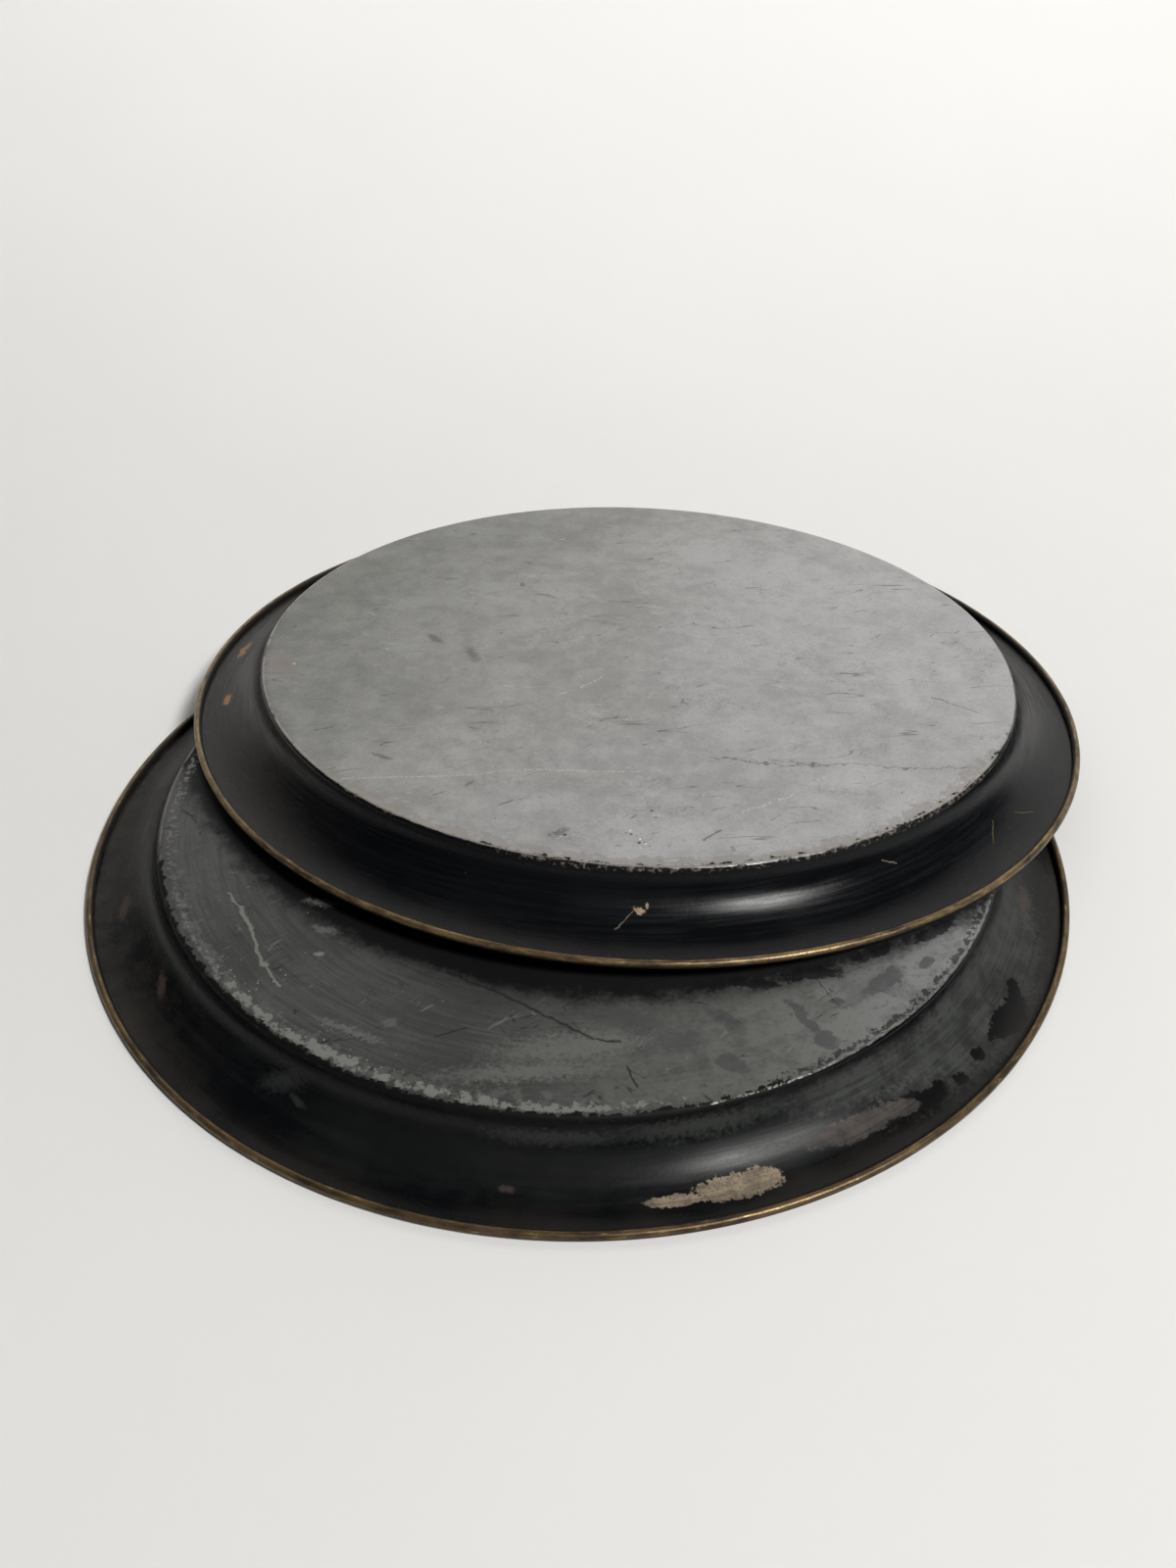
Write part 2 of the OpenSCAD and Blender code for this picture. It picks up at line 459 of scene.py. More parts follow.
def make_strokes():
    """Long brush strokes that run round the dish. Value swings either side of a half."""
    tree, given, out = new_group("Brush strokes", [("Place", "v", None), ("Spacing", "f", 1.5), ("Length", "f", 0.35)],
                                 [("Value", "f")])
    flat = point_work(tree, "MULTIPLY", given["Place"], (1.0, 1.0, 0.0))
    up = point_work(tree, "DOT_PRODUCT", given["Place"], (0.0, 0.0, 1.0))
    away = work(tree, "MAXIMUM", point_work(tree, "LENGTH", flat), 1.0)
    round_way = point_work(tree, "SCALE", point_work(tree, "NORMALIZE", flat),
                           work(tree, "DIVIDE", 3.0, given["Length"]))
    across = add(tree, "CombineXYZ", {1: work(tree, "DIVIDE", up, given["Spacing"]),
                                      2: work(tree, "DIVIDE", away, given["Spacing"])}).outputs[0]
    return closed(tree, out, noise(tree, point_work(tree, "ADD", round_way, across), 3.0, 0.6))


def make_specks():
    """Small round specks scattered thinly."""
    tree, given, out = new_group("Specks", [("Place", "v", None), ("Spacing", "f", 6.0), ("Radius", "f", 0.5),
                                            ("Share", "f", 0.3)], [("Mask", "f")])
    cells = add(tree, "TexVoronoi", {"Vector": in_units(tree, given["Place"], given["Spacing"]), "Scale": 1.0})
    away = times(tree, cells.outputs["Distance"], given["Spacing"])
    near = fade(tree, away, times(tree, given["Radius"], 0.6), given["Radius"], 1.0, 0.0)
    drawn = add(tree, "SeparateColor", {0: cells.outputs["Color"]}).outputs[0]
    kept = work(tree, "LESS_THAN", drawn, given["Share"])
    return closed(tree, out, times(tree, near, kept))


def make_hairlines():
    """Fine wandering handling lines that mostly lie one way and come and go."""
    tree, given, out = new_group(
        "Hairlines", [("Place", "v", None), ("Long Way", "v", (0.02, 0.0, 0.0)), ("Short Way", "v", (0.0, 0.1, 0.0)),
                      ("Width", "f", 0.02), ("Share", "f", 0.5)], [("Mask", "f")])
    along = point_work(tree, "DOT_PRODUCT", given["Place"], given["Long Way"])
    aside = point_work(tree, "DOT_PRODUCT", given["Place"], given["Short Way"])
    where = add(tree, "CombineXYZ", {0: along, 1: aside}).outputs[0]
    line = fade(tree, work(tree, "ABSOLUTE", work(tree, "SUBTRACT", noise(tree, where, 2.0, 0.6), 0.5)),
                times(tree, given["Width"], 0.3), given["Width"], 1.0, 0.0)
    elsewhere = add(tree, "CombineXYZ", {0: times(tree, along, 3.5), 1: aside, 2: 7.0}).outputs[0]
    edge = work(tree, "MULTIPLY_ADD", given["Share"], -0.3, 0.68)
    kept = fade(tree, noise(tree, elsewhere, 2.0, 0.5), edge, work(tree, "ADD", edge, 0.05))
    return closed(tree, out, times(tree, line, kept))


def make_clouds():
    """Cloudy noise whose lumps are about Size millimetres across."""
    tree, given, out = new_group("Clouds", [("Place", "v", None), ("Size", "f", 10.0), ("Detail", "f", 4.0),
                                            ("Roughness", "f", 0.6)], [("Value", "f")])
    value = noise(tree, in_units(tree, given["Place"], given["Size"]), given["Detail"], given["Roughness"])
    return closed(tree, out, value)


CLOUDS, WANDER, PATCH, SCRATCH = make_clouds(), make_wander(), make_patch(), make_scratch()
BAND, STROKES, SPECKS, HAIRLINES = make_band(), make_strokes(), make_specks(), make_hairlines()


def two_ways(slant, length, width):
    """Directions along and across something lying at a slant in degrees, each one over its size."""
    turn = radians(slant)
    return (cos(turn) / length, sin(turn) / length, 0.0), (-sin(turn) / width, cos(turn) / width, 0.0)


class Coat:
    """The layers of one finish, laid one over another."""

    def __init__(self, name):
        self.material, self.tree, self.shader = new_material(name)
        self.place = add(self.tree, "Attribute", attribute_name="place").outputs["Vector"]
        self.unrolled = add(self.tree, "Attribute", attribute_name="unrolled").outputs["Vector"]
        self.shift = put(self.tree, WANDER, Place=self.place, Lump=7.0)["Shift"]
        self.fine_shift = put(self.tree, WANDER, Place=self.place, Lump=2.2)["Shift"]
        self.crumble = self.clouds(2.4, 5.0, 0.75)
        self.run = point_work(self.tree, "DOT_PRODUCT", self.unrolled, (0.0, 1.0, 0.0))
        self.colour = self.rough = self.metal = self.height = None

    def ground(self, colour, rough, metal=0.0):
        self.colour, self.rough, self.metal, self.height = colour, rough, metal, 0.0

    def clouds(self, size, detail, rough, where=None):
        return put(self.tree, CLOUDS, Place=where or self.place, Size=size, Detail=detail, Roughness=rough)["Value"]

    def along(self, direction):
        """How far a place lies along a direction, in millimetres."""
        return point_work(self.tree, "DOT_PRODUCT", self.place, direction)

    def lay(self, mask, colour=None, rough=None, metal=None, share=1.0):
        """Lays a layer where the mask is 1, as thickly as share says."""
        t = self.tree
        if share != 1.0:
            mask = times(t, mask, share)
        if colour is not None:
            self.colour = blend(t, mask, self.colour, colour)
        for what, value in (("rough", rough), ("metal", metal)):
            if value is not None:
                now = getattr(self, what)
                setattr(self, what, add(t, "MapRange", {"Value": mask, "To Min": now, "To Max": value}).outputs[0])

    def raise_by(self, value, millimetres):
        self.height = work(self.tree, "MULTIPLY_ADD", value, millimetres, self.height)

    def patch(self, plan, centre, half_length, half_width, slant, ragged, soft, fine, crumbling):
        long_way, short_way = two_ways(slant, half_length, half_width)
        return put(self.tree, PATCH, Plan=plan, Shift=self.fine_shift if fine else self.shift, Crumble=self.crumble,
                   Centre=(*centre, 0.0), Long_Way=long_way, Short_Way=short_way, Ragged=ragged, Softness=soft,
                   Crumbling=crumbling)["Mask"]

    def wall_patch(self, turn, run, half_length, half_width, slant=0.0, ragged=6.0, soft=0.15, fine=False,
                   crumbling=1.2):
        """A patch on the wall. Its slant is in degrees."""
        return self.patch(self.unrolled, (turn * WALL_DEGREE, run), half_length, half_width, slant, ragged, soft, fine,
                          crumbling)

    def base_patch(self, x, y, half_length, half_width, slant=0.0, ragged=6.0, soft=0.15, fine=False, crumbling=1.2):
        """A patch on the base. Its slant is in degrees."""
        return self.patch(self.place, (x, y), half_length, half_width, slant, ragged, soft, fine, crumbling)

    def scratch(self, plan, start, end, width, wobble, skips):
        return put(self.tree, SCRATCH, Plan=plan, Shift=self.shift, Start=(*start, 0.0), End=(*end, 0.0),
                   Width=width, Wobble=wobble, Skips=skips)["Mask"]

    def wall_scratch(self, start, end, width=0.5, wobble=2.0, skips=0.0):
        """A scratch on the wall between two places, each a turn and a run."""
        (turn_1, run_1), (turn_2, run_2) = start, end
        return self.scratch(self.unrolled, (turn_1 * WALL_DEGREE, run_1), (turn_2 * WALL_DEGREE, run_2),
                            width, wobble, skips)

    def base_scratch(self, points, width=0.5, wobble=2.0, skips=0.0):
        """A scratch through several points on the base."""
        return self.any_of([self.scratch(self.place, start, end, width, wobble, skips)
                            for start, end in zip(points, points[1:])])

    def any_of(self, masks):
        most = masks[0]
        for mask in masks[1:]:
            most = work(self.tree, "MAXIMUM", most, mask)
        return most

    def wall_patches(self, *rows):
        """Patches on the wall, each row being what wall_patch takes."""
        return self.any_of([self.wall_patch(*row) for row in rows])

    def base_patches(self, *rows):
        """Patches on the base, each row being what base_patch takes."""
        return self.any_of([self.base_patch(*row) for row in rows])

    def wall_scratches(self, *rows):
        return self.any_of([self.wall_scratch(*row) for row in rows])

    def base_scratches(self, *rows):
        return self.any_of([self.base_scratch(*row) for row in rows])

    def band(self, run, half_width, start, end, easing, ragged, cover, lump):
        return put(self.tree, BAND, Unrolled=self.unrolled, Place=self.place, Run=run, Half_Width=half_width,
                   From=start, To=end, Easing=easing, Ragged=ragged, Cover=cover, Lump=lump)["Mask"]

    def specks(self, spacing, radius, share):
        return put(self.tree, SPECKS, Place=self.place, Spacing=spacing, Radius=radius, Share=share)["Mask"]

    def strokes(self, spacing, length):
        return put(self.tree, STROKES, Place=self.place, Spacing=spacing, Length=length)["Value"]

    def hairlines(self, slant, length, spacing, width, share):
        long_way, short_way = two_ways(slant, length, spacing)
        return put(self.tree, HAIRLINES, Place=self.place, Long_Way=long_way, Short_Way=short_way, Width=width,
                   Share=share)["Mask"]

    def finish(self, specular=0.32):
        t = self.tree
        for name, value in (("Base Color", self.colour), ("Roughness", self.rough), ("Metallic", self.metal)):
            socket = self.shader.inputs[name]
            if isinstance(value, bpy.types.NodeSocket):
                t.links.new(value, socket)
            else:
                socket.default_value = (*value, 1.0) if name == "Base Color" else value
        self.shader.inputs["Specular IOR Level"].default_value = specular
        bump = add(t, "Bump", {"Height": self.height, "Distance": MM, "Strength": 1.0})
        t.links.new(bump.outputs[0], self.shader.inputs["Normal"])
        return self.material


# ---------------- finishes
BLACK_JAPAN = (0.0024, 0.0028, 0.0036)
BARE_TAN = (0.33, 0.265, 0.185)
RUST = (0.25, 0.125, 0.055)


def upper_coat():
    """The upper dish's back: base rubbed to an even grey, wall still black and satin."""
    coat = Coat("Upper dish coat")
    t = coat.tree
    cloud = coat.clouds(90.0, 4.0, 0.6)
    mottle = coat.clouds(16.0, 6.0, 0.68)
    fine = coat.clouds(1.3, 4.0, 0.75)
    strokes = coat.strokes(1.8, 0.5)
    tone = work(t, "ADD", times(t, cloud, 0.4), times(t, mottle, 0.6))
    tone = fade(t, tone, 0.36, 0.64)
    # The base is rubbed to grey; one side is painted paler and the other darker, as painted sheen from the bright
    # backdrop
    across = coat.along((0.284, -0.959, 0.0))
    sheen_way = stir(t, coat.along((-0.07, -0.99, 0.0)), cloud, 150.0)
    painted_sheen_share = fade(t, sheen_way, -250.0, 175.0)
    worn_grey_shaded_side = blend(t, tone, (0.172, 0.175, 0.164), (0.250, 0.253, 0.237))
    worn_grey_sheen_side = blend(t, tone, (0.360, 0.360, 0.362), (0.465, 0.465, 0.475))
    coat.ground(blend(t, painted_sheen_share, worn_grey_shaded_side, worn_grey_sheen_side), 0.42, 0.65)
    coat.lay(fade(t, fine, 0.50, 0.78), (0.13, 0.13, 0.125), share=0.45)
    coat.lay(fade(t, fine, 0.50, 0.25), (0.50, 0.50, 0.49), share=0.22)
    coat.raise_by(fine, 0.03)
    coat.raise_by(mottle, 0.05)
    coat.raise_by(strokes, 0.012)

    # Fine lines of handling, mostly lying one way, and small pits
    rubs = coat.any_of([coat.hairlines(-68, 130, 17, 0.0065, 0.45), coat.hairlines(-38, 70, 10, 0.0070, 0.30)])
    coat.lay(rubs, (0.085, 0.082, 0.080), 0.46, share=0.55)
    coat.lay(coat.hairlines(-80, 90, 15, 0.006, 0.40), (0.50, 0.50, 0.49), share=0.45)
    coat.lay(times(t, fade(t, coat.clouds(34.0, 5.0, 0.7), 0.54, 0.66), fade(t, fine, 0.35, 0.6)),
             (0.155, 0.155, 0.150), share=0.30)
    coat.lay(coat.specks(10.0, 0.55, 0.35), (0.07, 0.07, 0.07), 0.5, share=0.6)

    # Darker smears left by handling
    smears = coat.base_patches(
        (-40, 86, 8, 3.2, 40, 9, 0.55), (-29, 113, 7, 2.2, 60, 6, 0.55), (57, 89, 3, 1.5, 30, 3, 0.4),
        (-165, 41, 3, 1.2, -20, 3, 0.4), (-190, -12, 5, 2.4, -40, 6, 0.5), (-156, 91, 6, 1.4, 80, 5, 0.5))
    coat.lay(smears, (0.070, 0.070, 0.072), 0.45, share=0.5)
    dark_lines = coat.base_scratches(
        ([(-103, -65), (-99, -103), (-87, -133), (-82, -164), (-71, -191)], 0.55, 11, 0.5),
        ([(-4, -167), (-14, -193)], 0.5, 6, 0.4), ([(-175, -77), (-165, -83)], 0.7, 4, 0.2),
        ([(-144, 133), (-138, 126)], 0.5, 2), ([(70, -160), (74, -162)], 0.5, 1, 0.3),
        ([(79, -174), (83, -176)], 0.5, 1, 0.3))
    coat.lay(dark_lines, (0.05, 0.048, 0.048), 0.5, share=0.6)
    # A long score that only shows as a row of dots, and small dents drawn as painted shadow specks with painted glint
    # specks beside them
    long_score = coat.base_scratch([(-182, 104), (-158, 44), (-144, 20), (-135, -14), (-128, -34)], 0.5, 3, 0.85)
    dotted = coat.base_scratch([(-147, -89), (-128, -107), (-111, -118), (-101, -123)], 0.7, 6, 0.92)
    pale_score = coat.base_scratch([(-69, 27), (-56, 17), (-41, 9)], 0.5, 4, 0.86)
    coat.lay(coat.any_of([long_score, dotted, pale_score]), (0.60, 0.60, 0.56), 0.35, share=0.65)
    dent_shadow_and_glint_area = coat.base_patches(
        (-184, -48, 8, 3.5, 55, 6, 0.5), (-163, -49, 6, 3.0, 30, 6, 0.5), (-190, -14, 7, 3.0, -50, 6, 0.5))
    # Painted shadow specks in the dents
    coat.lay(times(t, coat.specks(2.9, 1.05, 0.7), dent_shadow_and_glint_area), (0.02, 0.02, 0.02), 0.5, 0.2, share=0.9)
    # Painted glint specks on the dents
    coat.lay(times(t, coat.specks(3.4, 0.7, 0.7), dent_shadow_and_glint_area), (0.85, 0.85, 0.82), 0.35, share=0.85)
    coat.lay(coat.base_patch(-83, 175, 1.0, 0.8, 0, 1, 0.3, True), (0.6, 0.6, 0.56))
    coat.lay(coat.base_patch(-87, 182, 13, 7, 50, 14, 0.6, True, 2.0), (0.25, 0.20, 0.19), share=0.5)

    # Wall and lip: black, with faint strokes round the dish; the browner left side is a painted reflection of light
    # from the left
    wall = fade(t, stir(t, coat.run, mottle, 2.2), 209.6, 211.2)
    haze = fade(t, mean(t, cloud, strokes), 0.4, 0.65)
    black = blend(t, haze, BLACK_JAPAN, (0.0050, 0.0057, 0.0072))
    brown_reflection_side = times(t, fade(t, across, -130.0, -232.0), work(t, "MULTIPLY_ADD", mottle, 0.8, 0.3))
    coat.lay(wall, blend(t, brown_reflection_side, black, (0.020, 0.0150, 0.0115)), None, 0.0)
    wall_rough = work(t, "MULTIPLY_ADD", haze, 0.15, work(t, "MULTIPLY_ADD", fine, 0.14, 0.12))
    coat.lay(wall, rough=wall_rough)
    lip = times(t, fade(t, coat.run, 238.0, 256.0), fade(t, cloud, 0.35, 0.65))
    coat.lay(lip, (0.0165, 0.0150, 0.0140), share=0.5)
    rubbed_foot = coat.wall_patch(117, 213.5, 78, 4.2, 0, 7, 0.8, crumbling=1.6)
    coat.lay(rubbed_foot, (0.075, 0.062, 0.053), 0.42, share=0.6)
    rust = coat.wall_patches(
        (98.5, 250, 9, 1.8, 0, 6, 0.35, False, 1.8), (113.5, 246, 6, 2.2, 0, 5, 0.35, False, 1.8))
    coat.lay(rust, blend(t, fade(t, fine, 0.4, 0.7), (0.40, 0.24, 0.12), RUST), 0.6, share=0.85)
    chip = coat.wall_patches(
        (195, 231.2, 2.8, 1.5, 20, 3.0, 0.2, True, 1.6), (195.9, 229.0, 0.8, 1.5, 0, 1.5, 0.3, True, 1.0))
    coat.lay(chip, blend(t, fade(t, fine, 0.4, 0.7), (0.42, 0.30, 0.21), (0.15, 0.10, 0.07)), 0.55)
    pale_lines = coat.wall_scratches(
        ((194.3, 232), (192.4, 240), 0.4, 4, 0.55), ((226.8, 224), (228.8, 228), 0.45, 4, 0.6))
    coat.lay(pale_lines, (0.20, 0.17, 0.14), 0.5, share=0.6)
    gold_lines = coat.wall_scratches(
        ((247.5, 234), (244.5, 243), 0.38, 5, 0.5), ((252.2, 240), (254.7, 248), 0.38, 5, 0.5))
    coat.lay(gold_lines, (0.19, 0.14, 0.05), 0.5, share=0.6)
    coat.lay(times(t, coat.specks(7.0, 0.40, 0.35), wall), (0.14, 0.135, 0.125), 0.5, share=0.35)

    # The bend at the foot: rubbed tan at the front with black flakes below; the thin pale line at the front is a
    # painted highlight, and the pale line all round is painted highlight and rubbed edge together
    for band, *layer in (
            ((207.6, 4.5, 140.0, 262.0, 14.0, 8.0, 0.62, 6.0), (0.245, 0.225, 0.205), 0.42, 0.15, 0.5),
            ((209.3, 1.8, 146.0, 262.0, 14.0, 5.0, 0.60, 2.6), (0.315, 0.285, 0.252), 0.42, 0.15, 0.75),
            ((211.4, 2.2, 166.0, 268.0, 12.0, 7.0, 0.60, 3.0), (0.004, 0.0035, 0.0035), 0.6, 0.0),
            ((212.2, 2.8, 172.0, 258.0, 12.0, 5.0, 0.43, 1.8), (0.20, 0.17, 0.15), 0.5, 0.1, 0.75),
            # Painted highlight of the bend at the front
            ((211.0, 0.9, 196.0, 226.0, 6.0, 1.2, 0.60, 5.0), (0.40, 0.39, 0.37), 0.32, 0.6, 0.5),
            # Painted highlight along the whole bend, partly rubbed edge
            ((210.3, 0.8, -20.0, 380.0, 5.0, 1.2, 0.64, 14.0), (0.42, 0.41, 0.39), 0.3, 0.6, 0.65)):
        coat.lay(coat.band(*band), *layer)
    return coat.finish(0.17)


# Middle of the upper dish over the lower one
UPPER_CENTRE = (STACK_OFFSET * cos(STACK_HEADING), STACK_OFFSET * sin(STACK_HEADING), 0.0)


def lower_coat():
    """The lower dish's back: brushed black, scratched and stained, with bare patches on the wall."""
    coat = Coat("Lower dish coat")
    t = coat.tree
    cloud = coat.clouds(80.0, 4.0, 0.6)
    mottle = coat.clouds(12.0, 6.0, 0.68)
    fine = coat.clouds(1.2, 4.0, 0.75)
    strokes = coat.strokes(1.5, 0.5)
    wide_strokes = coat.strokes(6.0, 0.7)
    tone = fade(t, mean(t, cloud, strokes), 0.36, 0.64)
    coat.ground(blend(t, tone, (0.066, 0.067, 0.066), (0.108, 0.109, 0.105)), 0.44, 0.6)
    coat.raise_by(strokes, 0.03)
    coat.raise_by(fine, 0.02)
    coat.lay(fade(t, fine, 0.52, 0.78), (0.022, 0.022, 0.023), share=0.55)

    # The right of the base has been rubbed through to dull metal, in blots
    rightwards = coat.along((1.0, 0.0, 0.0))
    to_right = fade(t, stir(t, rightwards, mottle, 150.0), -30.0, 100.0)
    blots = fade(t, stir(t, mottle, wide_strokes, 0.5), 0.36, 0.56)
    worn = times(t, to_right, work(t, "MULTIPLY_ADD", blots, 0.45, 0.55))
    metal = blend(t, fade(t, rightwards, 60.0, 190.0), (0.165, 0.168, 0.158), (0.285, 0.288, 0.290))
    coat.lay(worn, metal, 0.42, 0.65)
    coat.lay(fade(t, coat.clouds(4.5, 6.0, 0.78), 0.52, 0.66), (0.045, 0.046, 0.045), 0.5, 0.3, share=0.42)
    rubs = coat.any_of([coat.hairlines(25, 80, 12, 0.008, 0.45), coat.hairlines(-35, 70, 14, 0.008, 0.35)])
    coat.lay(rubs, (0.024, 0.024, 0.024), 0.5, share=0.6)
    coat.lay(coat.hairlines(40, 60, 11, 0.008, 0.40), (0.26, 0.26, 0.25), share=0.45)
    stains = coat.base_patches(
        (63, -183, 7, 4, -30, 8, 0.2), (97, -158, 13, 2.2, -58, 8, 0.2), (104, -170, 5.5, 4.4, -60, 5, 0.2),
        (134, -136, 13, 4.2, 42, 8, 0.2), (62, -158, 9, 3.4, -40, 8, 0.3), (155, -125, 5, 2.2, 40, 6, 0.2),
        (112, -148, 3, 1.6, 0, 4, 0.25), (40, -172, 15, 6, 10, 14, 0.6), (20, -160, 14, 7, -20, 14, 0.6))
    coat.lay(stains, (0.072, 0.072, 0.076), 0.5, 0.2, share=0.75)
    # Painted shadow of the upper dish: near-black where its rim overhangs the base and just in front of it, with
    # near-black blotches further out
    from_rim_shadow_middle = point_work(t, "SUBTRACT", point_work(t, "MULTIPLY", coat.place, (1.0, 1.0, 0.0)), UPPER_CENTRE)
    painted_rim_shadow = work(t, "ADD", point_work(t, "LENGTH", from_rim_shadow_middle), fade(t, rightwards, 10.0, 100.0, 0.0, 6.5))
    painted_rim_shadow = stir(t, stir(t, painted_rim_shadow, mottle, 20.0), coat.crumble, 8.0)
    painted_rim_shadow = fade(t, painted_rim_shadow, 253.5, 265.0, 1.0, 0.0)
    dark_blotches = coat.base_patches(
        (132, -118, 10, 3.4, 30, 10, 0.12), (163, -104, 13, 3.6, 35, 10, 0.12), (103, -131, 14, 4.0, 10, 12, 0.15),
        (76, -137, 12, 4.0, 0, 12, 0.2))
    coat.lay(painted_rim_shadow, (0.004, 0.004, 0.005), 0.55, 0.0, share=0.95)
    coat.lay(dark_blotches, (0.008, 0.008, 0.009), 0.45, 0.0, share=0.85)
    smudges = coat.base_patches(
        (-4, -175, 26, 7, 8, 24, 0.7, True, 2.5), (-120, -86, 8, 2.2, -10, 8, 0.5, True, 2.0),
        (-116, -104, 6, 2.0, -20, 8, 0.5, True, 2.0), (-20, -188, 30, 4, 3, 18, 0.7, True, 2.5),
        (-96, -166, 15, 1.6, -26, 12, 0.5, True, 2.0))
    coat.lay(smudges, (0.19, 0.195, 0.18), 0.42, 0.3, share=0.6)
    trail = coat.base_scratches(
        ([(-165, -80), (-157, -90)], 0.8, 6, 0.3), ([(-157, -90), (-149, -104)], 1.5, 5, 0.2),
        ([(-149, -104), (-144, -118), (-139, -128)], 1.0, 4, 0.25), ([(-138, -129), (-130, -140)], 0.8, 6, 0.5))
    drops = coat.base_patches((-139, -127, 2.2, 1.3, 0, 2, 0.3, True), (-116, -120, 2.4, 1.3, 0, 2, 0.35, True))
    coat.lay(coat.any_of([trail, drops]), (0.26, 0.27, 0.235), 0.45, 0.4, share=0.75)
    near_specks = coat.base_patches(
        (-149, -135, 18, 9, -40, 14, 0.6), (-130, -132, 20, 2.5, 62, 4, 0.5), (-53, -167, 9, 2.5, 10, 6, 0.5),
        (-100, -176, 30, 7, -25, 12, 0.6))
    coat.lay(times(t, coat.specks(2.8, 0.55, 0.5), near_specks), (0.36, 0.37, 0.34), 0.45, 0.4, share=0.9)
    coat.lay(coat.base_patch(-80, -161, 3.5, 2.0, 20, 4, 0.5), (0.18, 0.18, 0.17), share=0.5)
    score = coat.base_scratch([(-58, -131), (-32, -145), (-6, -162), (7, -170), (18, -172)], 1.0, 5, 0.15)
    thin = coat.base_scratches(
        ([(20, -185), (24, -196)], 0.7, 3), ([(100, -125), (112, -150)], 0.35, 6, 0.3),
        ([(-60, -169), (-47, -164)], 0.5, 2, 0.4))
    coat.lay(coat.any_of([score, thin]), (0.012, 0.012, 0.013), 0.5, 0.0, share=0.8)
    coat.lay(coat.specks(9.0, 0.5, 0.35), (0.30, 0.30, 0.27), 0.45, share=0.5)
    coat.lay(coat.specks(7.0, 0.5, 0.35), (0.015, 0.015, 0.015), 0.5, share=0.6)

    # Wall and lip
    wall = fade(t, stir(t, coat.run, mottle, 2.0), 209.8, 211.4)
    haze = fade(t, mean(t, cloud, wide_strokes), 0.40, 0.68)
    # The browner left side of the wall is a painted reflection of light from the left
    brown_reflection_side = times(t, fade(t, rightwards, -130.0, -235.0), fade(t, mottle, 0.35, 0.65))
    black = blend(t, haze, BLACK_JAPAN, (0.0100, 0.0112, 0.0115))
    coat.lay(wall, blend(t, brown_reflection_side, black, (0.0190, 0.0165, 0.0140)), None, 0.0)
    wall_rough = work(t, "MULTIPLY_ADD", haze, 0.14, work(t, "MULTIPLY_ADD", fine, 0.16, 0.17))
    coat.lay(wall, rough=wall_rough)
    on_wall = fade(t, coat.run, 212.5, 214.5)
    streaky = fade(t, work(t, "MULTIPLY_ADD", mottle, 0.6, times(t, strokes, 0.4)), 0.38, 0.62)
    dull = coat.wall_patches((326, 236, 84, 19, 0, 16, 0.30), (304, 225, 40, 8, 3, 16, 0.5))
    dull = times(t, dull, on_wall)
    coat.lay(times(t, dull, work(t, "MULTIPLY_ADD", streaky, 0.6, 0.4)), (0.058, 0.062, 0.058), 0.46, 0.15)
    smeared = coat.wall_patches(
        (267, 221, 26, 2.6, 0, 10, 0.6, True, 2.4), (284, 220, 34, 4, 0, 16, 0.7, True, 2.4),
        (235.6, 228.0, 9, 3.6, -25, 9, 0.9, True, 3.2), (238.2, 232.4, 4.6, 1.3, 12, 3, 0.6, True, 1.4))
    coat.lay(smeared, (0.080, 0.088, 0.080), 0.45, share=0.34)
    # A wide greyer patch on the front of the wall, a painted reflection of the ceiling
    painted_reflection_grey = coat.wall_patch(258, 231, 75, 13, 0, 20, 0.8)
    coat.lay(painted_reflection_grey, (0.0130, 0.0135, 0.0135), 0.36, share=0.6)
    islands = coat.wall_patches(
        (309, 245.5, 15, 5.0, 8, 12, 0.06), (314.4, 249.0, 4.2, 3.0, 20, 7, 0.06),
        (318.6, 247.0, 3.4, 3.0, 0, 7, 0.06), (325.5, 248.8, 17, 6.2, 6, 12, 0.06),
        (329.5, 245.5, 9, 2.6, -18, 8, 0.08))
    coat.lay(islands, (0.0035, 0.0038, 0.0045), 0.30, 0.0)
    thinned = coat.wall_patches((300.5, 241, 28, 4.6, 3, 7, 0.12), (306.5, 244.0, 8, 3.4, 10, 5, 0.10))
    coat.lay(thinned, blend(t, streaky, (0.036, 0.031, 0.029), (0.100, 0.085, 0.074)), 0.46, 0.0, share=0.75)
    bare = coat.wall_patches(
        (285.8, 246.8, 18, 4.9, 3, 6, 0.06, True, 1.1), (279.4, 247.8, 12, 2.5, 2, 4, 0.08, True, 0.8),
        (288.6, 245.6, 9.0, 4.4, 12, 5, 0.08, True, 1.2))
    tan = blend(t, streaky, (0.13, 0.105, 0.08), BARE_TAN)
    tan = blend(t, times(t, fade(t, fine, 0.46, 0.68), 0.7), tan, (0.06, 0.05, 0.04))
    coat.lay(bare, tan, 0.55, 0.0)
    brown = coat.wall_patches(
        (263, 242, 3.5, 1.3, 0, 3, 0.5, True, 2.0), (212, 236, 7, 2.2, 25, 6, 0.6, True, 2.0),
        (196, 244, 8, 2.2, 12, 6, 0.6, True, 2.0), (345, 240, 12, 3, 0, 8, 0.6, True, 2.0))
    coat.lay(brown, (0.090, 0.062, 0.048), 0.5, share=0.5)
    lip = times(t, fade(t, coat.run, 244.0, 257.0), fade(t, cloud, 0.35, 0.6))
    coat.lay(lip, (0.024, 0.019, 0.015), share=0.5)
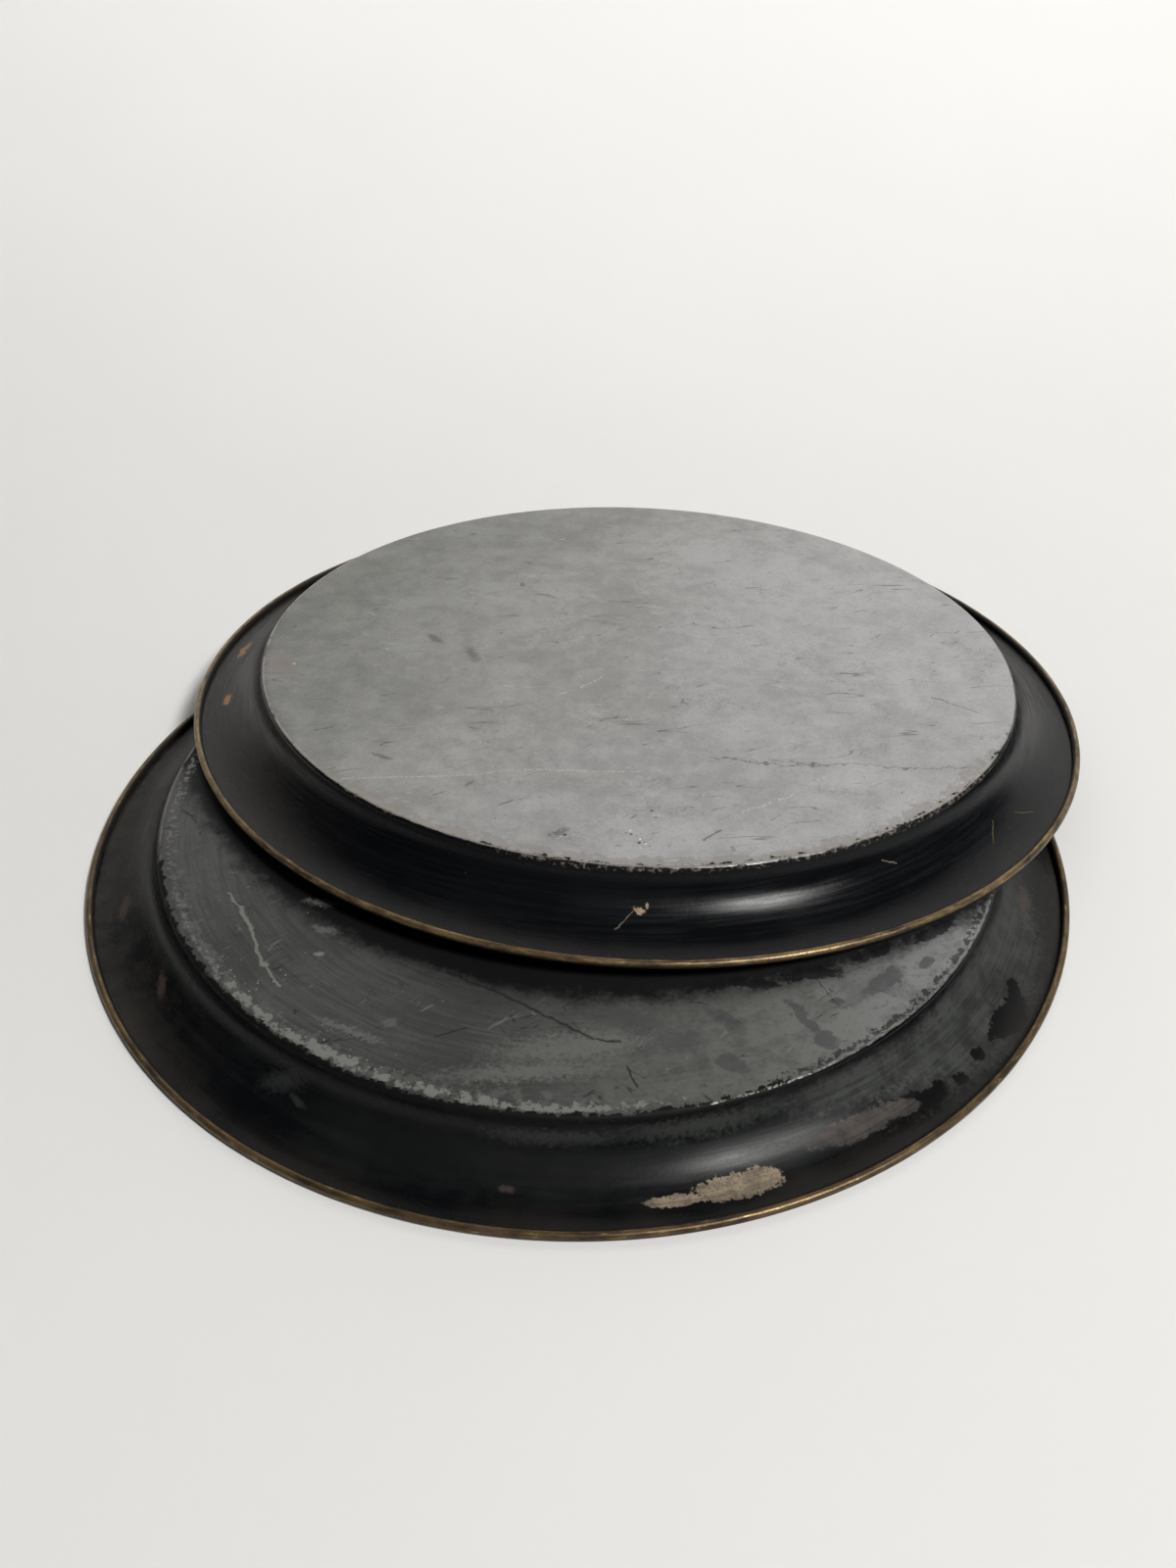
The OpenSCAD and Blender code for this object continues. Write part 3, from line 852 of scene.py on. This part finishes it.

    # The bend at the foot: pale flakes on the base side, black below them, and two thin pale lines along the bend that
    # are painted highlights
    for band, *layer in (
            ((204.6, 6.0, 196.0, 300.0, 14.0, 9.0, 0.52, 7.0), (0.15, 0.155, 0.142), 0.45, 0.3, 0.45),
            ((206.8, 3.8, 214.0, 284.0, 16.0, 7.0, 0.57, 3.4), (0.235, 0.245, 0.220), 0.45, 0.3, 0.85),
            ((205.8, 3.4, 158.0, 226.0, 14.0, 8.0, 0.47, 2.2), (0.20, 0.195, 0.195), 0.45, 0.2, 0.7),
            ((211.6, 2.6, 190.0, 300.0, 10.0, 4.0, 0.68, 4.0), (0.003, 0.003, 0.003), 0.6, 0.0),
            ((208.4, 2.6, 290.0, 352.0, 8.0, 6.0, 0.56, 2.6), (0.010, 0.010, 0.010), 0.55, 0.0, 0.8),
            # Painted highlight of the bend at the front right
            ((210.6, 0.9, 280.0, 345.0, 6.0, 2.6, 0.52, 2.6), (0.34, 0.33, 0.30), 0.34, 0.6, 0.5),
            # Painted highlight of the bend at the back left
            ((210.3, 0.6, 100.0, 200.0, 10.0, 1.0, 0.70, 12.0), (0.24, 0.235, 0.22), 0.3, 0.4, 0.5)):
        coat.lay(coat.band(*band), *layer)
    return coat.finish(0.17)


def bead_coat(name, golden):
    """The rolled rim: the coat has worn to brown and bare brassy metal, with painted shade in its crease and on its
    underside.
    """
    coat = Coat(name)
    t = coat.tree
    drawn_out = point_work(t, "MULTIPLY", coat.unrolled, (0.22, 1.0, 1.0))
    long_lumps = coat.clouds(40.0, 4.0, 0.65)
    lumps = coat.clouds(1.7, 4.0, 0.65, drawn_out)
    fine = coat.clouds(0.9, 3.0, 0.6)
    tone = work(t, "ADD", times(t, long_lumps, 0.55), times(t, lumps, 0.45))
    coat.ground(blend(t, fade(t, tone, 0.36, 0.64), (0.055, 0.038, 0.023), golden), 0.38, 0.6)
    coat.lay(fade(t, fine, 0.50, 0.70), (0.030, 0.021, 0.013), 0.5, 0.2, share=0.6)
    coat.lay(fade(t, lumps, 0.60, 0.68), (0.52, 0.36, 0.155), 0.36, 0.8, share=0.55)
    away = point_work(t, "LENGTH", point_work(t, "MULTIPLY", coat.place, (1.0, 1.0, 0.0)))
    # Painted shade darkens the crease between the roll and the lip and the lower side of the roll, leaving the crest
    # lighter
    crease = fade(t, work(t, "MULTIPLY_ADD", lumps, 0.5, away), 247.0, 247.9, 1.0, 0.0)
    coat.lay(crease, (0.006, 0.005, 0.005), 0.6, 0.0)
    under = fade(t, work(t, "MULTIPLY_ADD", lumps, 1.6, coat.along((0.0, 0.0, 1.0))), 2.6, 4.0, 1.0, 0.0)
    coat.lay(under, (0.020, 0.014, 0.010), 0.42, 0.2, share=0.92)
    coat.raise_by(lumps, 0.06)
    coat.raise_by(fine, 0.02)
    return coat.finish()


def face_coat():
    """The face of both dishes, which lies downwards: deep even black with fine wear."""
    coat = Coat("Face coat")
    t = coat.tree
    cloud = coat.clouds(60.0, 4.0, 0.6)
    mottle = coat.clouds(9.0, 5.0, 0.65)
    strokes = coat.strokes(1.4, 0.4)
    coat.ground(blend(t, fade(t, cloud, 0.35, 0.65), BLACK_JAPAN, (0.020, 0.019, 0.018)), 0.26)
    coat.lay(fade(t, strokes, 0.5, 0.8), (0.035, 0.034, 0.033), 0.40, share=0.4)
    coat.lay(fade(t, mottle, 0.66, 0.72), (0.10, 0.085, 0.07), 0.45, 0.1, share=0.6)
    coat.lay(coat.hairlines(20, 90, 16, 0.014, 0.5), (0.11, 0.105, 0.10), 0.42, share=0.5)
    coat.lay(coat.specks(8.0, 0.6, 0.4), (0.15, 0.14, 0.13), 0.45, share=0.6)
    coat.raise_by(strokes, 0.02)
    return coat.finish()


def wire_steel():
    """Dull drawn wire, a little brown with age."""
    material, t, shader = new_material("Drawn wire")
    where = add(t, "TexCoord").outputs["Object"]
    millimetres = point_work(t, "SCALE", where, 1.0 / MM)
    stretched = point_work(t, "MULTIPLY", millimetres, (0.3, 0.3, 6.0))
    lines = put(t, CLOUDS, Place=stretched, Size=1.0, Detail=2.0, Roughness=0.55)["Value"]
    brown = put(t, CLOUDS, Place=millimetres, Size=9.0, Detail=4.0, Roughness=0.7)["Value"]
    colour = blend(t, fade(t, brown, 0.45, 0.65), (0.42, 0.40, 0.37), (0.20, 0.12, 0.07))
    t.links.new(colour, shader.inputs["Base Color"])
    t.links.new(work(t, "MULTIPLY_ADD", brown, 0.35, 0.25), shader.inputs["Roughness"])
    shader.inputs["Metallic"].default_value = 0.9
    bump = add(t, "Bump", {"Height": lines, "Distance": 0.00004, "Strength": 0.6})
    t.links.new(bump.outputs[0], shader.inputs["Normal"])
    return material


# ---------------- the dishes
def dish_matrix(name):
    """Where a dish stands in the frame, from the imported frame's own mounts and boxes."""
    mounts = {m["name"]: m for m in frame["record"]["mounts"]}
    if name == "lower_dish":
        low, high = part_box("lower_dish")
        return Matrix.Translation(((low.x + high.x) / 2, (low.y + high.y) / 2, low.z))
    base = Vector(mounts["upper_base"]["pos_m"])
    normal = Vector(mounts["upper_base"]["axis"]).normalized()
    heading = atan2(normal.y, normal.x)
    tilt = atan2(sqrt(normal.x ** 2 + normal.y ** 2), normal.z)
    turned = Matrix.Rotation(heading, 4, "Z") @ Matrix.Rotation(tilt, 4, "Y")
    return Matrix.Translation(base) @ turned @ Matrix.Translation((0, 0, -HEIGHT * MM))


face = face_coat()
wire = wire_steel()
LOWER_GOLD, UPPER_GOLD = (0.205, 0.138, 0.066), (0.300, 0.210, 0.105)
for node, body, slot, back, rolled, seed in (
        ("lower_dish", "lower", "lower_coat", lower_coat(), bead_coat("Lower rolled rim", LOWER_GOLD), 21),
        ("upper_dish", "upper", "upper_coat", upper_coat(), bead_coat("Upper rolled rim", UPPER_GOLD), 47)):
    dish = bpy.data.objects.new(node + "_pressing", dish_mesh(node + "_pressing", seed))
    dish.data.transform(dish_matrix(node))
    for finish in (back, rolled, face):
        dish.data.materials.append(finish)
    show(dish)
    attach(dish, body)
    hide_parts(node)
    ring = frame["nodes"][body + "_rim_wire"]
    ring.data.materials.clear()
    ring.data.materials.append(wire)


# ---------------- bench, backdrop and light
def paper_sweep():
    """A pale sheet that lies flat under the pair and rises behind it."""
    rise_from, bend, wide, height, steps = 0.42, 1.1, 6.0, 3.0, 32
    line = [(-4.0, 0.0), (-1.0, 0.0), (0.0, 0.0), (rise_from, 0.0)]
    for step in range(1, steps + 1):
        turn = step / steps * pi / 2
        line.append((rise_from + bend * sin(turn), bend * (1 - cos(turn))))
    line.append((rise_from + bend, height))
    verts, faces = [], []
    for y, z in line:
        verts += [(-wide / 2, y, z), (wide / 2, y, z)]
    for i in range(len(line) - 1):
        faces.append((2 * i, 2 * i + 1, 2 * i + 3, 2 * i + 2))
    mesh = bpy.data.meshes.new("Paper sweep")
    mesh.from_pydata(verts, [], faces)
    mesh.polygons.foreach_set("use_smooth", [True] * len(faces))
    sweep = bpy.data.objects.new("Paper_sweep", mesh)
    show(sweep)

    paper, t, shader = new_material("Pale paper")
    where = add(t, "TexCoord").outputs["Object"]
    cloud = put(t, CLOUDS, Place=where, Size=0.45, Detail=4.0, Roughness=0.5)["Value"]
    colour = blend(t, cloud, (0.85, 0.845, 0.835), (0.90, 0.895, 0.885))
    t.links.new(colour, shader.inputs["Base Color"])
    shader.inputs["Roughness"].default_value = 0.7
    shader.inputs["Specular IOR Level"].default_value = 0.2
    # From behind the sheet is clear, so that the pair shows from every side
    clear = add(t, "BsdfTransparent")
    sides = add(t, "MixShader", {0: add(t, "NewGeometry").outputs["Backfacing"], 1: shader.outputs[0],
                                 2: clear.outputs[0]})
    t.links.new(sides.outputs[0], t.nodes["Material Output"].inputs["Surface"])
    mesh.materials.append(paper)


def soft_light(name, stand, target, width, height, power, spread=180.0):
    """A soft panel standing at one point and aimed at another, in metres."""
    lamp = bpy.data.lights.new(name, "AREA")
    lamp.shape = "RECTANGLE"
    lamp.size, lamp.size_y = width, height
    lamp.energy, lamp.color = power, (1.0, 0.985, 0.96)
    lamp.spread = radians(spread)
    panel = bpy.data.objects.new(name, lamp)
    panel.location = stand
    panel.rotation_euler = (Vector(stand) - Vector(target)).to_track_quat("Z", "Y").to_euler()
    show(panel)


def dim_room():
    """A dim room that lights the pair a little, though it looks pale where it shows past the paper."""
    world = bpy.data.worlds.new("Dim room")
    world.use_nodes = True
    t = world.node_tree
    dim = t.nodes["Background"]
    dim.inputs["Color"].default_value = (0.9, 0.95, 1.0, 1.0)
    dim.inputs["Strength"].default_value = 0.05
    pale = add(t, "Background", {"Color": (0.76, 0.755, 0.745, 1.0), "Strength": 1.0})
    looked_at = add(t, "LightPath").outputs["Is Camera Ray"]
    seen = add(t, "MixShader", {0: looked_at, 1: dim.outputs[0], 2: pale.outputs[0]})
    t.links.new(seen.outputs[0], t.nodes["World Output"].inputs["Surface"])
    bpy.context.scene.world = world


paper_sweep()
soft_light("Right panel", stand=(1.875, -1.81, 3.1), target=(0.0, 0.0, 0.0), width=0.82, height=0.92, power=141.0)
soft_light("Backdrop wash", stand=(0.0, -0.3, 2.4), target=(-0.2, 1.5, 0.7), width=2.6, height=0.8, power=6.0,
           spread=75.0)
dim_room()
